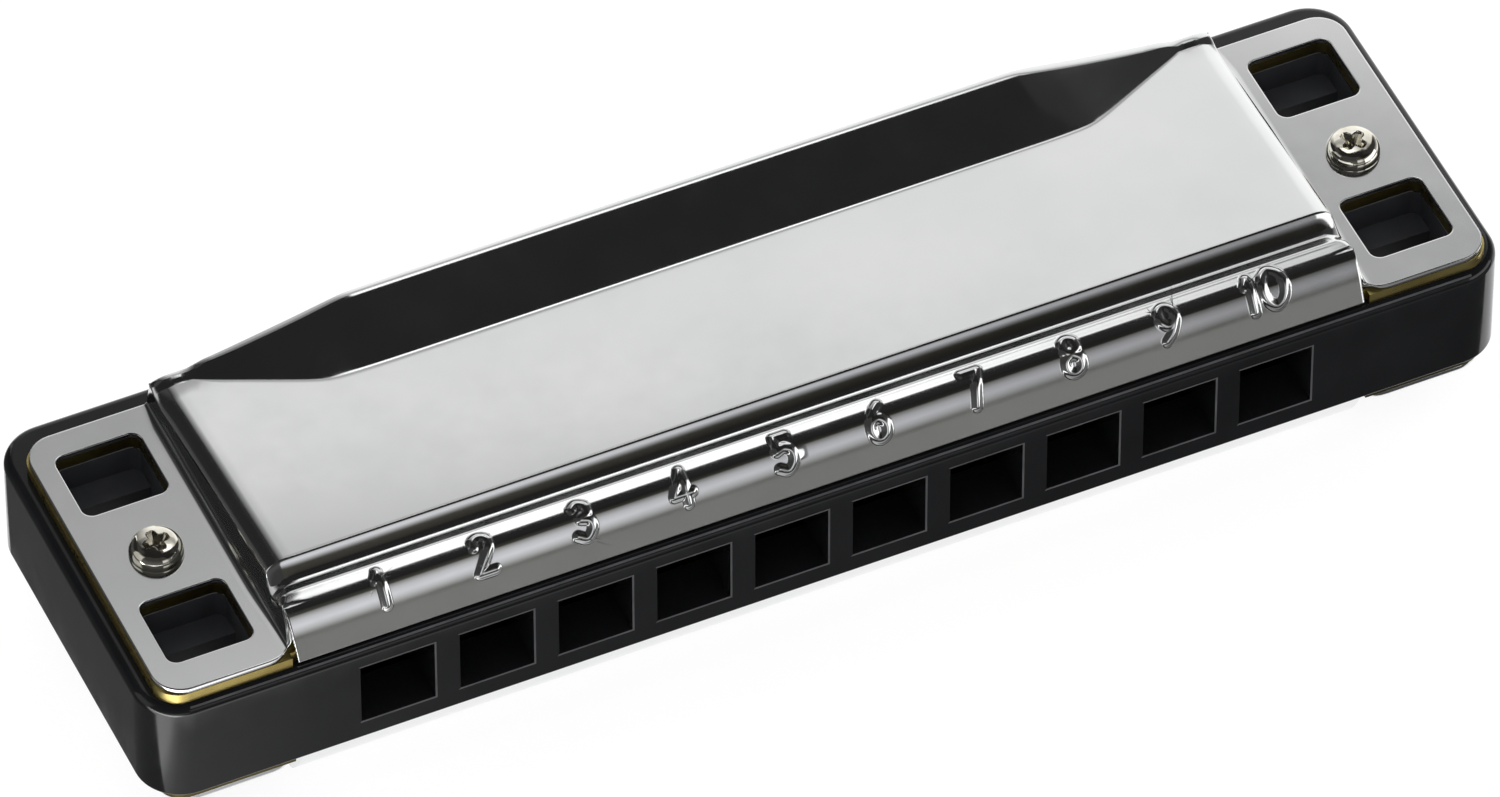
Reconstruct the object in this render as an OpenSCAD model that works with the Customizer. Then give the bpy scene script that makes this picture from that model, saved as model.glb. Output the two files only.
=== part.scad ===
// Ten-hole diatonic harmonica: moulded comb, two brass reed plates, twenty
// reeds and two pressed steel covers held by a pair of through screws.
// X runs along the length (hole 1 at -X), -Y is the mouth side, +Z is up.
// The origin is on the resting surface, below the centre of the comb.

/* [Comb] */
// Length of the solid block beyond the outer holes, at each end
comb_end = 14.7; // [13:0.1:18]
// Depth of the comb, from the mouth side to the back
comb_depth = 29.2; // [28.6:0.1:33]
// Height of the comb
comb_height = 8.9; // [8.2:0.1:11]
// Radius of the four upright corners
comb_corner = 3.4; // [2:0.1:7]
// Rounding of the top and bottom edges
comb_edge = 0.7; // [0.3:0.1:1.2]

/* [Mouth holes] */
// Spacing of the ten holes
hole_pitch = 7.5; // [7.2:0.05:7.6]
// Width of a hole and of the air chamber behind it
hole_width = 5.6; // [5.2:0.1:5.9]
// Height of a hole
hole_height = 5.5; // [5:0.1:6]
// Depth of the closed passage before the chamber opens
passage_depth = 4; // [3.5:0.1:4.4]

/* [Reed plates] */
// Thickness of a reed plate
plate_thickness = 0.9; // [0.8:0.05:1.2]
// Margin of comb left bare at each end
plate_end_margin = 1.15; // [1:0.05:2.5]
// Margin of comb left bare at the back
plate_back_margin = 2.7; // [2.2:0.1:2.9]
// Set-back of the plate's end tabs from the mouth side
tab_setback = 0.65; // [0.5:0.05:1]
// Corner radius of a plate
plate_corner = 2; // [0.8:0.1:2.4]

/* [Reeds] */
// Brass left behind the tip of the longest reed
reed_tip_margin = 2.6; // [2:0.1:3.4]
// Free length of the shortest reed
reed_shortest = 9.6; // [9:0.1:11]
// Width of a reed tongue
reed_width = 2.2; // [1.8:0.05:2.4]
// Thickness of a reed tongue
reed_thickness = 0.3; // [0.2:0.02:0.4]
// Gap beside a tongue in its slot
reed_gap = 0.06; // [0.05:0.01:0.1]
// Length of the riveted pad at the root
pad_length = 2.9; // [2.6:0.1:3.2]
// Width of the riveted pad
pad_width = 2.9; // [2.6:0.1:3.4]
// Thickness of the riveted pad
pad_thickness = 0.45; // [0.4:0.05:0.6]
// Diameter of a rivet's shank
rivet_diameter = 1.1; // [0.9:0.05:1.3]

/* [Plate screws] */
// Diameter of a plate screw's shank
plate_screw = 1.4; // [1.2:0.05:1.5]
// Length of a plate screw under its head
plate_screw_length = 4.2; // [3.6:0.1:4.6]
// Diameter of a plate screw's head
plate_screw_head = 2.5; // [2.2:0.1:2.8]

/* [Covers] */
// Thickness of the cover sheet
sheet = 0.45; // [0.4:0.05:0.6]
// Height of a cover above the comb
cover_rise = 5.55; // [5.3:0.05:6.2]
// Distance from the outer holes to the end walls
hood_overhang = 3.8; // [3.4:0.1:4.2]
// Inward lean of the end walls, in degrees
end_wall_lean = 8; // [4:1:12]
// Rounding between an end wall and the top panel
shoulder_radius = 0.8; // [0.6:0.1:1.6]
// Set-back of the front apron from the mouth side
apron_setback = 0.5; // [0.4:0.05:0.6]
// Slope of the front apron, in degrees
apron_slope = 62; // [58:1:66]
// Height of the number roll above the comb
roll_rise = 4.05; // [3.8:0.05:4.3]
// Radius of the number roll
roll_radius = 1.5; // [1.2:0.1:1.7]
// Set-back of the groove behind the number roll
groove_setback = 4.5; // [4.3:0.1:4.9]
// Slope of the step up to the top panel, in degrees
step_slope = 68; // [60:1:75]
// Drop of the top panel from its front edge to its back corners
panel_drop = 2.1; // [1.6:0.1:2.4]
// Distance from an end wall to the start of the back edge's crease
crease_inset = 11.7; // [9:0.1:15]
// Distance from that crease to the back edge
crease_reach = 5.3; // [4.6:0.1:6]
// Length over which the raised edge starts, along the crease
ramp_inset = 3.5; // [2:0.1:6]
// Width of the flat lip along the raised back edge
lip_width = 0.8; // [0.6:0.1:1.2]
// Backward bow of the raised back edge
back_bow = 0.6; // [0:0.1:1.2]
// Radius of the fillet at the foot of an end wall
foot_radius = 0.8; // [0.4:0.1:1]
// Height of an embossed hole number
digit_height = 2.5; // [2:0.1:2.7]
// Stroke width of an embossed hole number
digit_stroke = 0.55; // [0.45:0.05:0.65]
// Height of the embossing
digit_relief = 0.25; // [0.15:0.05:0.35]

/* [End flanges] */
// Corner radius of a flange
flange_corner = 2.2; // [1.8:0.1:3]
// Flange left beside a window, towards the end and towards the hood
window_border = 1.6; // [1.4:0.05:2.4]
// Depth of a window, front to back
window_depth = 6.1; // [5:0.1:6.4]
// Distance between the two windows of an end
window_gap = 8.9; // [8:0.1:9.6]
// Corner radius of a window
window_corner = 0.8; // [0.4:0.1:1.4]
// Depth of the well in the comb under a window
well_depth = 2.3; // [1.5:0.1:3.4]
// Width of the slot in the floor of a well
well_slot = 1.8; // [1.2:0.1:2.4]

/* [Cover screws] */
// Diameter of a cover screw's shank
cover_screw = 2; // [1.8:0.1:2.2]
// Offset of a cover screw from the middle of its flange, towards the mouth side
cover_screw_offset = 0.5; // [0:0.1:1]
// Diameter of the head and of the nut
cover_screw_head = 3.9; // [3.4:0.1:4.2]
// Height of the head and of the nut
cover_screw_height = 1.25; // [1:0.05:1.6]

/* [Hidden] */
HOLES = 10;
$fn = 48;
// A distance that reaches past every face
far = 60;

// Colours
BLACK = [0.10, 0.10, 0.11];
BRASS = [0.78, 0.66, 0.33];
REED_BRASS = [0.84, 0.74, 0.42];
STEEL = [0.80, 0.81, 0.82];
NICKEL = [0.72, 0.70, 0.64];

// Clearances
thread_gap = 0.05;
screw_gap = 0.15;
flange_inset = 0.1;
rivet_gap = 0.02;
reed_rest_gap = 0.05;
reed_root_gap = 0.06;
reed_tip_gap = 0.15;
pad_seat_gap = 0.02;
apron_gap = 0.15;
pilot_extra = 0.3;

// Levels, measured from the middle of the comb's height
mid_z = comb_height / 2 + cover_rise;
face = comb_height / 2;
plate_top = face + plate_thickness;
flange_top = plate_top + sheet;

// Lengths
row_length = HOLES * hole_pitch;
comb_length = row_length + 2 * comb_end;
hood_length = row_length + 2 * hood_overhang;
plate_half = comb_length / 2 - plate_end_margin;
flange_half = plate_half - flange_inset;
flange_width = flange_half - hood_length / 2;
window_x = (flange_half + hood_length / 2) / 2;
window_width = flange_width - 2 * window_border;
crease_length = hood_length - 2 * crease_inset;

// Front-to-back places
front = -comb_depth / 2;
back = comb_depth / 2;
tab_front = front + tab_setback;
plate_front = front + apron_setback + sheet / sin(apron_slope) + apron_gap;
plate_back = back - plate_back_margin;
passage_back = front + passage_depth;
pad_setback = 1.4;
pad_front = passage_back + pad_setback;
reed_root = pad_front + pad_length + reed_root_gap;
chamber_tail = 0.9;
reed_longest = plate_back - reed_tip_margin - reed_root;
window_shift = 0.2;
window_y = (tab_front + plate_back) / 2 + window_shift;
cover_screw_y = window_y - cover_screw_offset;
pilot_depth = plate_screw_length - plate_thickness + pilot_extra;

// Plate screws sit outside the first and last chambers, and one behind the middle
screw_margin = 0.7;
screw_x = hole_x(HOLES) + hole_width / 2 + plate_screw_head / 2 + screw_margin;
screw_front_y = passage_back + plate_screw_head / 2;
screw_back_y = plate_back - plate_screw_head / 2 - screw_margin;
SCREW_PLACES = [[-screw_x, screw_front_y], [screw_x, screw_front_y],
  [-screw_x, screw_back_y], [screw_x, screw_back_y], [0, screw_back_y]];

function hole_x(i) = hole_pitch * (i - (HOLES + 1) / 2);
function reed_length(i) = reed_longest
  - (reed_longest - reed_shortest) * (i - 1) / (HOLES - 1);
function chamber_back(i) = reed_root + reed_length(i) + chamber_tail;

// ---------- shared shapes ----------

// Rounded rectangle about the origin
module rounded_rectangle(length, depth, radius) {
  square([length - 2 * radius, depth], center = true);
  square([length, depth - 2 * radius], center = true);
  for (x = [-1, 1], y = [-1, 1])
    translate([x * (length / 2 - radius), y * (depth / 2 - radius)]) circle(radius);
}

// Block with upright corner radii and rounded top and bottom edges
module moulded_block(length, depth, height, corner, edge) {
  rotate([90, 0, 90])
    linear_extrude(length - 2 * corner, center = true) rounded_rectangle(depth, height, edge);
  rotate([90, 0, 0])
    linear_extrude(depth - 2 * corner, center = true) rounded_rectangle(length, height, edge);
  for (x = [-1, 1], y = [-1, 1])
    translate([x * (length / 2 - corner), y * (depth / 2 - corner), 0])
      rotate_extrude() intersection() {
        rounded_rectangle(2 * corner, height, edge);
        translate([0, -height / 2]) square([corner, height]);
      }
}

// The four windows of both ends, as a plan shape
module window_plan() {
  for (x = [-1, 1], y = [-1, 1])
    translate([x * window_x, window_y + y * (window_gap + window_depth) / 2])
      rounded_rectangle(window_width, window_depth, window_corner);
}

// Both cover screw holes, as a plan shape
module cover_screw_plan(diameter) {
  for (x = [-1, 1]) translate([x * window_x, cover_screw_y]) circle(d = diameter);
}

// ---------- comb ----------

module comb() {
  color(BLACK) translate([0, 0, mid_z]) difference() {
    moulded_block(comb_length, comb_depth, comb_height, comb_corner, comb_edge);
    for (i = [1:HOLES]) {
      // mouth hole
      translate([hole_x(i) - hole_width / 2, front - 1, -hole_height / 2])
        cube([hole_width, passage_depth + 2, hole_height]);
      // air chamber, open to both reed plates
      translate([hole_x(i) - hole_width / 2, passage_back, -face - 1])
        cube([hole_width, chamber_back(i) - passage_back, comb_height + 2]);
    }
    // wells under the windows, with a slot through the floor between them
    for (side = [-1, 1])
      translate([0, 0, side > 0 ? face - well_depth : -face - 1])
        linear_extrude(well_depth + 1) window_plan();
    for (x = [-1, 1], y = [-1, 1])
      translate([x * window_x - window_width / 2,
          window_y + y * (window_gap + window_depth) / 2 - well_slot / 2, -face])
        cube([window_width, well_slot, comb_height]);
    translate([0, 0, -face - 1]) linear_extrude(comb_height + 2)
      cover_screw_plan(cover_screw + 2 * screw_gap);
    // blind holes for the plate screws
    for (p = SCREW_PLACES, side = [-1, 1])
      translate([p[0], p[1], side > 0 ? face - pilot_depth : -face - 1])
        cylinder(d = plate_screw + 2 * thread_gap, h = pilot_depth + 1);
  }
}

// ---------- reed plates ----------

// One plate lying on z = 0, with its slots, rivet holes and screw holes
module reed_plate() {
  difference() {
    linear_extrude(plate_thickness) difference() {
      translate([0, (tab_front + plate_back) / 2])
        rounded_rectangle(2 * plate_half, plate_back - tab_front, plate_corner);
      // the front edge steps back between the end tabs, behind the cover's apron
      translate([-hood_length / 2, tab_front - 1])
        square([hood_length, plate_front - tab_front + 1]);
      window_plan();
      cover_screw_plan(cover_screw + 2 * screw_gap);
      for (p = SCREW_PLACES) translate(p) circle(d = plate_screw + 2 * screw_gap);
    }
    for (i = [1:HOLES]) {
      translate([hole_x(i) - reed_width / 2 - reed_gap, reed_root - reed_root_gap, -1])
        cube([reed_width + 2 * reed_gap, reed_length(i) + reed_root_gap + reed_tip_gap,
          plate_thickness + 2]);
      translate([hole_x(i), pad_front + pad_length / 2, -1])
        cylinder(d = rivet_diameter + 2 * rivet_gap, h = plate_thickness + 2);
    }
  }
}

module upper_reed_plate() {
  color(BRASS) translate([0, 0, mid_z + face]) reed_plate();
}

module lower_reed_plate() {
  color(BRASS) translate([0, 0, mid_z - plate_top]) reed_plate();
}

// ---------- reeds ----------

// Blow reeds lie under the upper plate and draw reeds under the lower plate
blow_seat = mid_z + face;
draw_seat = mid_z - plate_top;

module reed(i, seat) {
  color(REED_BRASS)
    translate([hole_x(i) - reed_width / 2, reed_root, seat - reed_rest_gap - reed_thickness])
      cube([reed_width, reed_length(i), reed_thickness]);
}

// The riveted roots of all ten reeds of a plate
module reed_pads(seat) {
  color(REED_BRASS) for (i = [1:HOLES]) difference() {
    translate([hole_x(i) - pad_width / 2, pad_front, seat - pad_seat_gap - pad_thickness])
      cube([pad_width, pad_length, pad_thickness]);
    translate([hole_x(i), pad_front + pad_length / 2, seat - pad_thickness - 1])
      cylinder(d = rivet_diameter + 2 * rivet_gap, h = pad_thickness + 2);
  }
}

// Rivets with a flat head on each side
module reed_rivets(seat) {
  head = rivet_diameter * 1.6;
  head_height = 0.2;
  color(BRASS) for (i = [1:HOLES])
    translate([hole_x(i), pad_front + pad_length / 2, seat - pad_seat_gap - pad_thickness]) {
      grip = pad_thickness + pad_seat_gap + plate_thickness;
      cylinder(d = rivet_diameter, h = grip);
      translate([0, 0, -head_height]) cylinder(d = head, h = head_height);
      translate([0, 0, grip]) cylinder(d = head, h = head_height);
    }
}

// ---------- plate screws ----------

// Half-section of a pan head: upright foot, rounded side and flat crown, as shares
// of its radius and height
PAN_HEAD = [[0, 0], [1, 0], [1, 0.2], [0.96, 0.5], [0.88, 0.76], [0.78, 0.93], [0.68, 1], [0, 1]];
module pan_head(radius, height) {
  rotate_extrude() polygon([for (p = PAN_HEAD) [p[0] * radius, p[1] * height]]);
}

// Slotted pan-head screw standing in a hole at z = 0, head upwards
module plate_screw_shape() {
  head_height = 0.8;
  slot = 0.35;
  translate([0, 0, -plate_screw_length]) cylinder(d = plate_screw, h = plate_screw_length);
  difference() {
    pan_head(plate_screw_head / 2, head_height);
    translate([-plate_screw_head, -slot / 2, head_height / 2])
      cube([2 * plate_screw_head, slot, head_height]);
  }
}

module upper_plate_screws() {
  color(NICKEL) for (p = SCREW_PLACES)
    translate([p[0], p[1], mid_z + plate_top]) plate_screw_shape();
}

module lower_plate_screws() {
  color(NICKEL) for (p = SCREW_PLACES)
    translate([p[0], p[1], mid_z - plate_top]) rotate([180, 0, 0]) plate_screw_shape();
}

// ---------- covers ----------

// The hood's section is a chain of straight faces. Each is [[y, z], angle], with y
// from the mouth side of the comb and z from its top face, so that an inset of the
// sheet's thickness gives the inside of the pressing.
roll_back_angle = -7;
ROLL_ANGLES = [48, 34, 20, 6, roll_back_angle];
apron_foot = 0.55;
function along(p, angle, distance) = p + distance * [cos(angle), sin(angle)];
function inward(p, angle, distance) = p + distance * [sin(angle), -cos(angle)];
function meet(a, b) =
  let (d = b[0] - a[0], turn = sin(b[1] - a[1]))
  a[0] + (d[0] * sin(b[1]) - d[1] * cos(b[1])) / turn * [cos(a[1]), sin(a[1])];

roll_centre_z = roll_rise - roll_radius;
roll_centre_y = apron_setback + roll_radius / sin(apron_slope)
  + (roll_centre_z - apron_foot) / tan(apron_slope);
function roll_face(angle) =
  [[roll_centre_y, roll_centre_z] + roll_radius * [-sin(angle), cos(angle)], angle];

APRON = [[apron_setback, apron_foot], apron_slope];
ROLL = [for (a = ROLL_ANGLES) roll_face(a)];
groove = [groove_setback, roll_face(roll_back_angle)[0][1]
  + (groove_setback - roll_face(roll_back_angle)[0][0]) * tan(roll_back_angle)];
STEP = [groove, step_slope];

// The top panel bows gently from its front crease down to the back corners
panel_bow = 0.28;
panel_margin = 0.1;
panel_front = groove_setback + (cover_rise - groove[1]) / tan(step_slope);
panel_back = comb_depth - plate_back_margin - panel_margin;
panel_run = panel_back - panel_front;
function panel_z(y) =
  let (t = (y - panel_front) / panel_run)
  cover_rise - panel_drop * ((1 - panel_bow) * t + panel_bow * t * t);
function panel_angle(y) =
  -atan(panel_drop * (1 - panel_bow + 2 * panel_bow * (y - panel_front) / panel_run) / panel_run);
PANEL_FACES = 6;
SHOULDER_ANGLES = [20, 45, 70];
PANEL = [for (k = [0:PANEL_FACES - 1])
  let (y = panel_front + (k + 0.5) / PANEL_FACES * panel_run)
  [[y, panel_z(y)], panel_angle(y)]];
HOOD = concat([APRON], ROLL, [STEP], PANEL);

// Hood section, inset by a distance and closed below
module hood_section(inset, foot, reach) {
  faces = [for (f = HOOD) [inward(f[0], f[1], inset), f[1]]];
  last = faces[len(faces) - 1];
  start = meet(faces[0], [[0, foot], 0]);
  end = meet(last, [[panel_back + reach, 0], 90]);
  polygon(concat([start], [for (k = [0:len(faces) - 2]) meet(faces[k], faces[k + 1])],
    [end, [panel_back + reach, foot]]));
}

// Outside of an end wall and its rounded shoulder, cut away from the hood
module end_trim(inset) {
  top = 2 * cover_rise;
  half = hood_length / 2 - inset / cos(end_wall_lean);
  shoulder_x = half - (cover_rise - plate_thickness) * tan(end_wall_lean)
    - shoulder_radius + inset;
  for (side = [0, 1]) mirror([side, 0, 0]) {
    rotate([90, 0, 0]) linear_extrude(far, center = true)
      polygon([[half + plate_thickness * tan(end_wall_lean), 0],
        [half - (top - plate_thickness) * tan(end_wall_lean), top], [far, top], [far, 0]]);
    translate([shoulder_x, panel_front, cover_rise - shoulder_radius])
      rotate([-atan(panel_drop / panel_run), 0, 0]) for (angle = SHOULDER_ANGLES)
        rotate([0, angle, 0]) translate([-far / 2, -far, shoulder_radius - inset])
          cube([far, 2 * far, far]);
  }
}

// The raised middle of the back edge: a low prism over the panel. It bows backwards
// and ramps down to the corners of the hood.
crease_y = panel_back - crease_reach;
corner_half = hood_length / 2 - shoulder_radius;
function both_sides(points) =
  concat(points, [for (p = points) [-p[0], p[1], p[2]]]);
module raised_back(lower, foot, reach) {
  crest_half = crease_length / 2 - ramp_inset;
  tip = [corner_half - 1, panel_back - sheet / 2];
  corner_z = panel_z(panel_back);
  points = both_sides([
    [crease_length / 2, crease_y, panel_z(crease_y)],
    [tip[0], tip[1], corner_z],
    [corner_half, panel_back + reach, corner_z],
    [crest_half, panel_back + back_bow - lip_width, cover_rise],
    [crest_half, panel_back + back_bow + reach, cover_rise]]);
  base = both_sides([[crease_length / 2, crease_y, foot],
    [tip[0], tip[1], foot], [corner_half, panel_back + reach, foot],
    [crest_half, panel_back + back_bow + reach, foot]]);
  all_points = concat(points, base);
  translate([0, 0, -lower]) hull()
    polyhedron(points = all_points, faces = [[for (k = [0:len(all_points) - 1]) k]]);
}

module hood_solid(inset, foot, reach) {
  difference() {
    union() {
      rotate([90, 0, 90]) linear_extrude(hood_length + 4, center = true)
        hood_section(inset, foot, reach);
      raised_back(inset / cos(atan((cover_rise - panel_z(crease_y)) / crease_reach)),
        inset > 0 ? 1 : panel_z(panel_back) - sheet / 2, reach);
    }
    end_trim(inset);
  }
}

SLIT = [[0.25, 0], [-0.2, roll_rise], [-0.5, 0]];

// The pressed hood, open below and at the back
module hood() {
  difference() {
    hood_solid(0, apron_foot, 0);
    hood_solid(sheet, -2, 3);
    // only the apron reaches below the reed plate's top
    translate([-hood_length, plate_front - front - 0.01, 0])
      cube([2 * hood_length, comb_depth, plate_thickness]);
    // relief slits between the apron and the end walls
    for (side = [-1, 1]) rotate([90, 0, 0])
      linear_extrude(2 * roll_centre_y, center = true)
        polygon([for (p = SLIT) [side * (hood_length / 2 + p[0]), p[1]]]);
  }
}

// Flat flanges at both ends, with their windows and screw holes
module flanges() {
  translate([0, -front, plate_thickness]) linear_extrude(sheet) difference() {
    translate([0, (tab_front + plate_back) / 2])
      rounded_rectangle(2 * flange_half, plate_back - tab_front, flange_corner);
    square([hood_length - 2 * sheet, far], center = true);
    window_plan();
    cover_screw_plan(cover_screw + 2 * screw_gap);
  }
}

// Small fillets where the end walls meet the flanges
module foot_fillets() {
  start = roll_centre_y;
  wall_foot = hood_length / 2 - sheet * tan(end_wall_lean);
  for (side = [0, 1]) mirror([side, 0, 0])
    translate([wall_foot, start, plate_thickness + sheet]) rotate([-90, 0, 0])
      linear_extrude(panel_back - start) mirror([0, 1]) difference() {
        translate([-sheet / 2, 0]) square([foot_radius + sheet / 2, foot_radius]);
        translate([foot_radius, foot_radius]) circle(foot_radius);
      }
}

// Hole numbers drawn as strokes between points on a grid 2 wide and 4 high
DIGITS = [
  [[[0.6, 3.1], [1.1, 4], [1.1, 0]]],
  [[[0.1, 3.1], [0.4, 3.8], [1, 4], [1.6, 3.8], [1.9, 3.1], [1.5, 2.2], [0.1, 0], [1.9, 0]]],
  [[[0.1, 3.6], [0.9, 4], [1.7, 3.6], [1.7, 2.7], [0.9, 2.2], [1.8, 1.7], [1.9, 0.8], [1, 0],
    [0.1, 0.5]]],
  [[[1.4, 0], [1.4, 4], [0, 1.2], [2, 1.2]]],
  [[[1.8, 4], [0.4, 4], [0.2, 2.3], [1.1, 2.5], [1.9, 1.8], [1.9, 0.8], [1, 0], [0.1, 0.5]]],
  [[[1.6, 4], [0.5, 2.6], [0.1, 1.1], [0.6, 0.1], [1.4, 0.1], [1.9, 1], [1.5, 2.1], [0.6, 2.2],
    [0.2, 1.6]]],
  [[[0.1, 4], [1.9, 4], [0.8, 0]]],
  [[[1, 2.2], [0.3, 2.8], [0.4, 3.7], [1, 4], [1.6, 3.7], [1.7, 2.8], [1, 2.2], [0.1, 1.3],
    [0.2, 0.4], [1, 0], [1.8, 0.4], [1.9, 1.3], [1, 2.2]]],
  [[[1.8, 2.3], [1.4, 1.8], [0.5, 1.9], [0.1, 3], [0.6, 3.9], [1.4, 3.9], [1.9, 2.9], [1.5, 1.4],
    [0.4, 0]]],
  [[[-0.9, 3.1], [-0.4, 4], [-0.4, 0]],
    [[1.6, 4], [0.9, 3.7], [0.7, 2], [0.9, 0.3], [1.6, 0], [2.3, 0.3], [2.5, 2], [2.3, 3.7],
      [1.6, 4]]]
];

// One stroke, as a chain of bars with round joints
module stroke(points, scale) {
  for (k = [0:len(points) - 2]) {
    a = points[k] * scale;
    b = points[k + 1] * scale;
    d = b - a;
    translate(a) rotate(atan2(d[1], d[0])) translate([0, -digit_stroke / 2])
      square([norm(d), digit_stroke]);
  }
  for (p = points) translate(p * scale) circle(d = digit_stroke, $fn = 20);
}

// The ten numbers, standing on the slope of the roll
digit_tilt = 47;
module numbers() {
  scale = (digit_height - digit_stroke) / 4;
  centre = [roll_centre_y, roll_centre_z] + roll_radius * [-sin(digit_tilt), cos(digit_tilt)];
  intersection() {
    for (i = [1:HOLES])
      translate([hole_x(i), centre[0], centre[1]]) rotate([digit_tilt, 0, 0])
        linear_extrude(3, center = true)
          translate([-scale, -2 * scale]) for (s = DIGITS[i - 1]) stroke(s, scale);
    rotate([90, 0, 90]) linear_extrude(hood_length, center = true) difference() {
      hood_section(-digit_relief, apron_foot, 0);
      hood_section(sheet / 2, -2, 1);
      translate([groove_setback - 0.4, -2]) square([comb_depth, 3 * cover_rise]);
    }
  }
}

module cover_pressing() {
  translate([0, front, 0]) {
    hood();
    flanges();
    foot_fillets();
  }
}

module upper_cover() {
  color(STEEL) translate([0, 0, mid_z + face]) {
    cover_pressing();
    translate([0, front, 0]) numbers();
  }
}

module lower_cover() {
  color(STEEL) translate([0, 0, mid_z - face]) mirror([0, 0, 1]) cover_pressing();
}

// ---------- cover screws ----------

// Pan-head machine screws with a cross recess; the shank ends inside the nut
module cover_screws() {
  recess = 0.85;
  slot = [2.2, 0.6];
  shank = 2 * flange_top + cover_screw_height * 0.8;
  color(NICKEL) for (x = [-1, 1]) translate([x * window_x, cover_screw_y, mid_z + flange_top]) {
    difference() {
      pan_head(cover_screw_head / 2, cover_screw_height);
      for (turn = [20, 110]) rotate(turn)
        translate([-slot[0] / 2, -slot[1] / 2, cover_screw_height - recess])
          cube([slot[0], slot[1], recess + 1]);
    }
    translate([0, 0, -shank]) cylinder(d = cover_screw, h = shank);
  }
}

module cover_nuts() {
  color(NICKEL) for (x = [-1, 1])
    translate([x * window_x, cover_screw_y, mid_z - flange_top]) rotate([180, 0, 0])
      difference() {
        pan_head(cover_screw_head / 2, cover_screw_height);
        translate([0, 0, -1]) cylinder(d = cover_screw + 2 * thread_gap, h = cover_screw_height + 2);
      }
}

// ---------- assembly ----------

comb();
upper_reed_plate();
lower_reed_plate();
for (i = [1:HOLES]) {
  reed(i, blow_seat);
  reed(i, draw_seat);
}
reed_pads(blow_seat);  // blow_reed_pads
reed_pads(draw_seat);  // draw_reed_pads
reed_rivets(blow_seat);  // blow_reed_rivets
reed_rivets(draw_seat);  // draw_reed_rivets
upper_plate_screws();
lower_plate_screws();
upper_cover();
lower_cover();
cover_screws();
cover_nuts();
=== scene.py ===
import math

import bmesh
import bpy
import numpy as np
from mathutils import Matrix, Vector
from mathutils.geometry import delaunay_2d_cdt


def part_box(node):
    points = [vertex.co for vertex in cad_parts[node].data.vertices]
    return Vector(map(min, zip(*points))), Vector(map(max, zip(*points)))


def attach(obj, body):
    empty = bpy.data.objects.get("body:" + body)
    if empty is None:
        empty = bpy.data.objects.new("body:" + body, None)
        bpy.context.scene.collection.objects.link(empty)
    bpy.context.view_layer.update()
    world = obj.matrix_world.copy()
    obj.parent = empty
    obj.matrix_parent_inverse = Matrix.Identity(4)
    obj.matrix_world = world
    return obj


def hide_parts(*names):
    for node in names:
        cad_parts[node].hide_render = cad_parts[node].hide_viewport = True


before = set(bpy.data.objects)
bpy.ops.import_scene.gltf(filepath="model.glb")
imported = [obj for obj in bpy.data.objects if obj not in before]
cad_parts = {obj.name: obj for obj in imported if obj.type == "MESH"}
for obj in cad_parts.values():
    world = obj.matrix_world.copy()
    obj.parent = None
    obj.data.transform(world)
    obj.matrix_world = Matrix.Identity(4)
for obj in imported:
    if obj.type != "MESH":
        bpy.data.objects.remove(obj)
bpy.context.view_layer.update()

# ---------- comb ----------
# The comb is one injection moulding in glossy black plastic. Ten square mouth holes
# run through its front, every one into an air chamber that is open to both plates,
# and four shallow wells at each end show through the windows of the covers.
mm = 0.001
comb_low, comb_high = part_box("comb")
comb_front, comb_back = comb_low.y, comb_high.y
comb_top, comb_bottom = comb_high.z, comb_low.z
comb_middle = (comb_top + comb_bottom) / 2
comb_half = comb_high.x
hole_count = 10
hole_pitch = 7.5 * mm
hole_width = 5.6 * mm
hole_height = 5.5 * mm
burr_width = 0.14 * mm
burr_depth = 0.02 * mm
burr_flare = 6
passage_depth = 4.0 * mm
chamber_spare = 0.9 * mm
overshoot = 1.0 * mm
weld_gap = 0.004 * mm
hole_x = [hole_pitch * (i - (hole_count - 1) / 2) for i in range(hole_count)]


def weld(mesh, gap, smooth, outward):
    """Joins points nearer than a gap, sets the shading and can turn all faces outward"""
    work = bmesh.new()
    work.from_mesh(mesh)
    bmesh.ops.remove_doubles(work, verts=work.verts, dist=gap)
    if outward:
        bmesh.ops.recalc_face_normals(work, faces=work.faces)
    for face in work.faces:
        face.smooth = smooth
    work.to_mesh(mesh)
    work.free()


def stand(name, data):
    """An object made of a mesh or a camera, standing in the scene"""
    piece = bpy.data.objects.new(name, data)
    bpy.context.scene.collection.objects.link(piece)
    return piece


def new_piece(name, points, faces, smooth=True):
    """A closed or flat piece from points and faces"""
    mesh = bpy.data.meshes.new(name)
    mesh.from_pydata([tuple(p) for p in points], [], faces)
    mesh.validate()
    weld(mesh, weld_gap, smooth, outward=True)
    return stand(name, mesh)


def loft(rings):
    """Points and faces of a closed solid through rings with equal numbers of points"""
    count = len(rings[0])
    points = [p for ring in rings for p in ring]
    faces = []
    for r in range(len(rings) - 1):
        for k in range(count):
            a, b = r * count + k, r * count + (k + 1) % count
            faces.append((a, b, b + count, a + count))
    faces.append(tuple(range(count))[::-1])
    faces.append(tuple(range((len(rings) - 1) * count, len(rings) * count)))
    return points, faces


def rounded_plan(half_length, half_depth, radius, steps, centre=(0, 0)):
    """Corner points of a rounded rectangle, anticlockwise from its +X end"""
    points = []
    for quarter, (x_side, y_side) in enumerate(((1, 1), (-1, 1), (-1, -1), (1, -1))):
        for k in range(steps + 1):
            turn = math.radians(90 * quarter + 90 * k / steps)
            points.append((centre[0] + x_side * (half_length - radius) + radius * math.cos(turn),
                           centre[1] + y_side * (half_depth - radius) + radius * math.sin(turn)))
    return points


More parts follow.
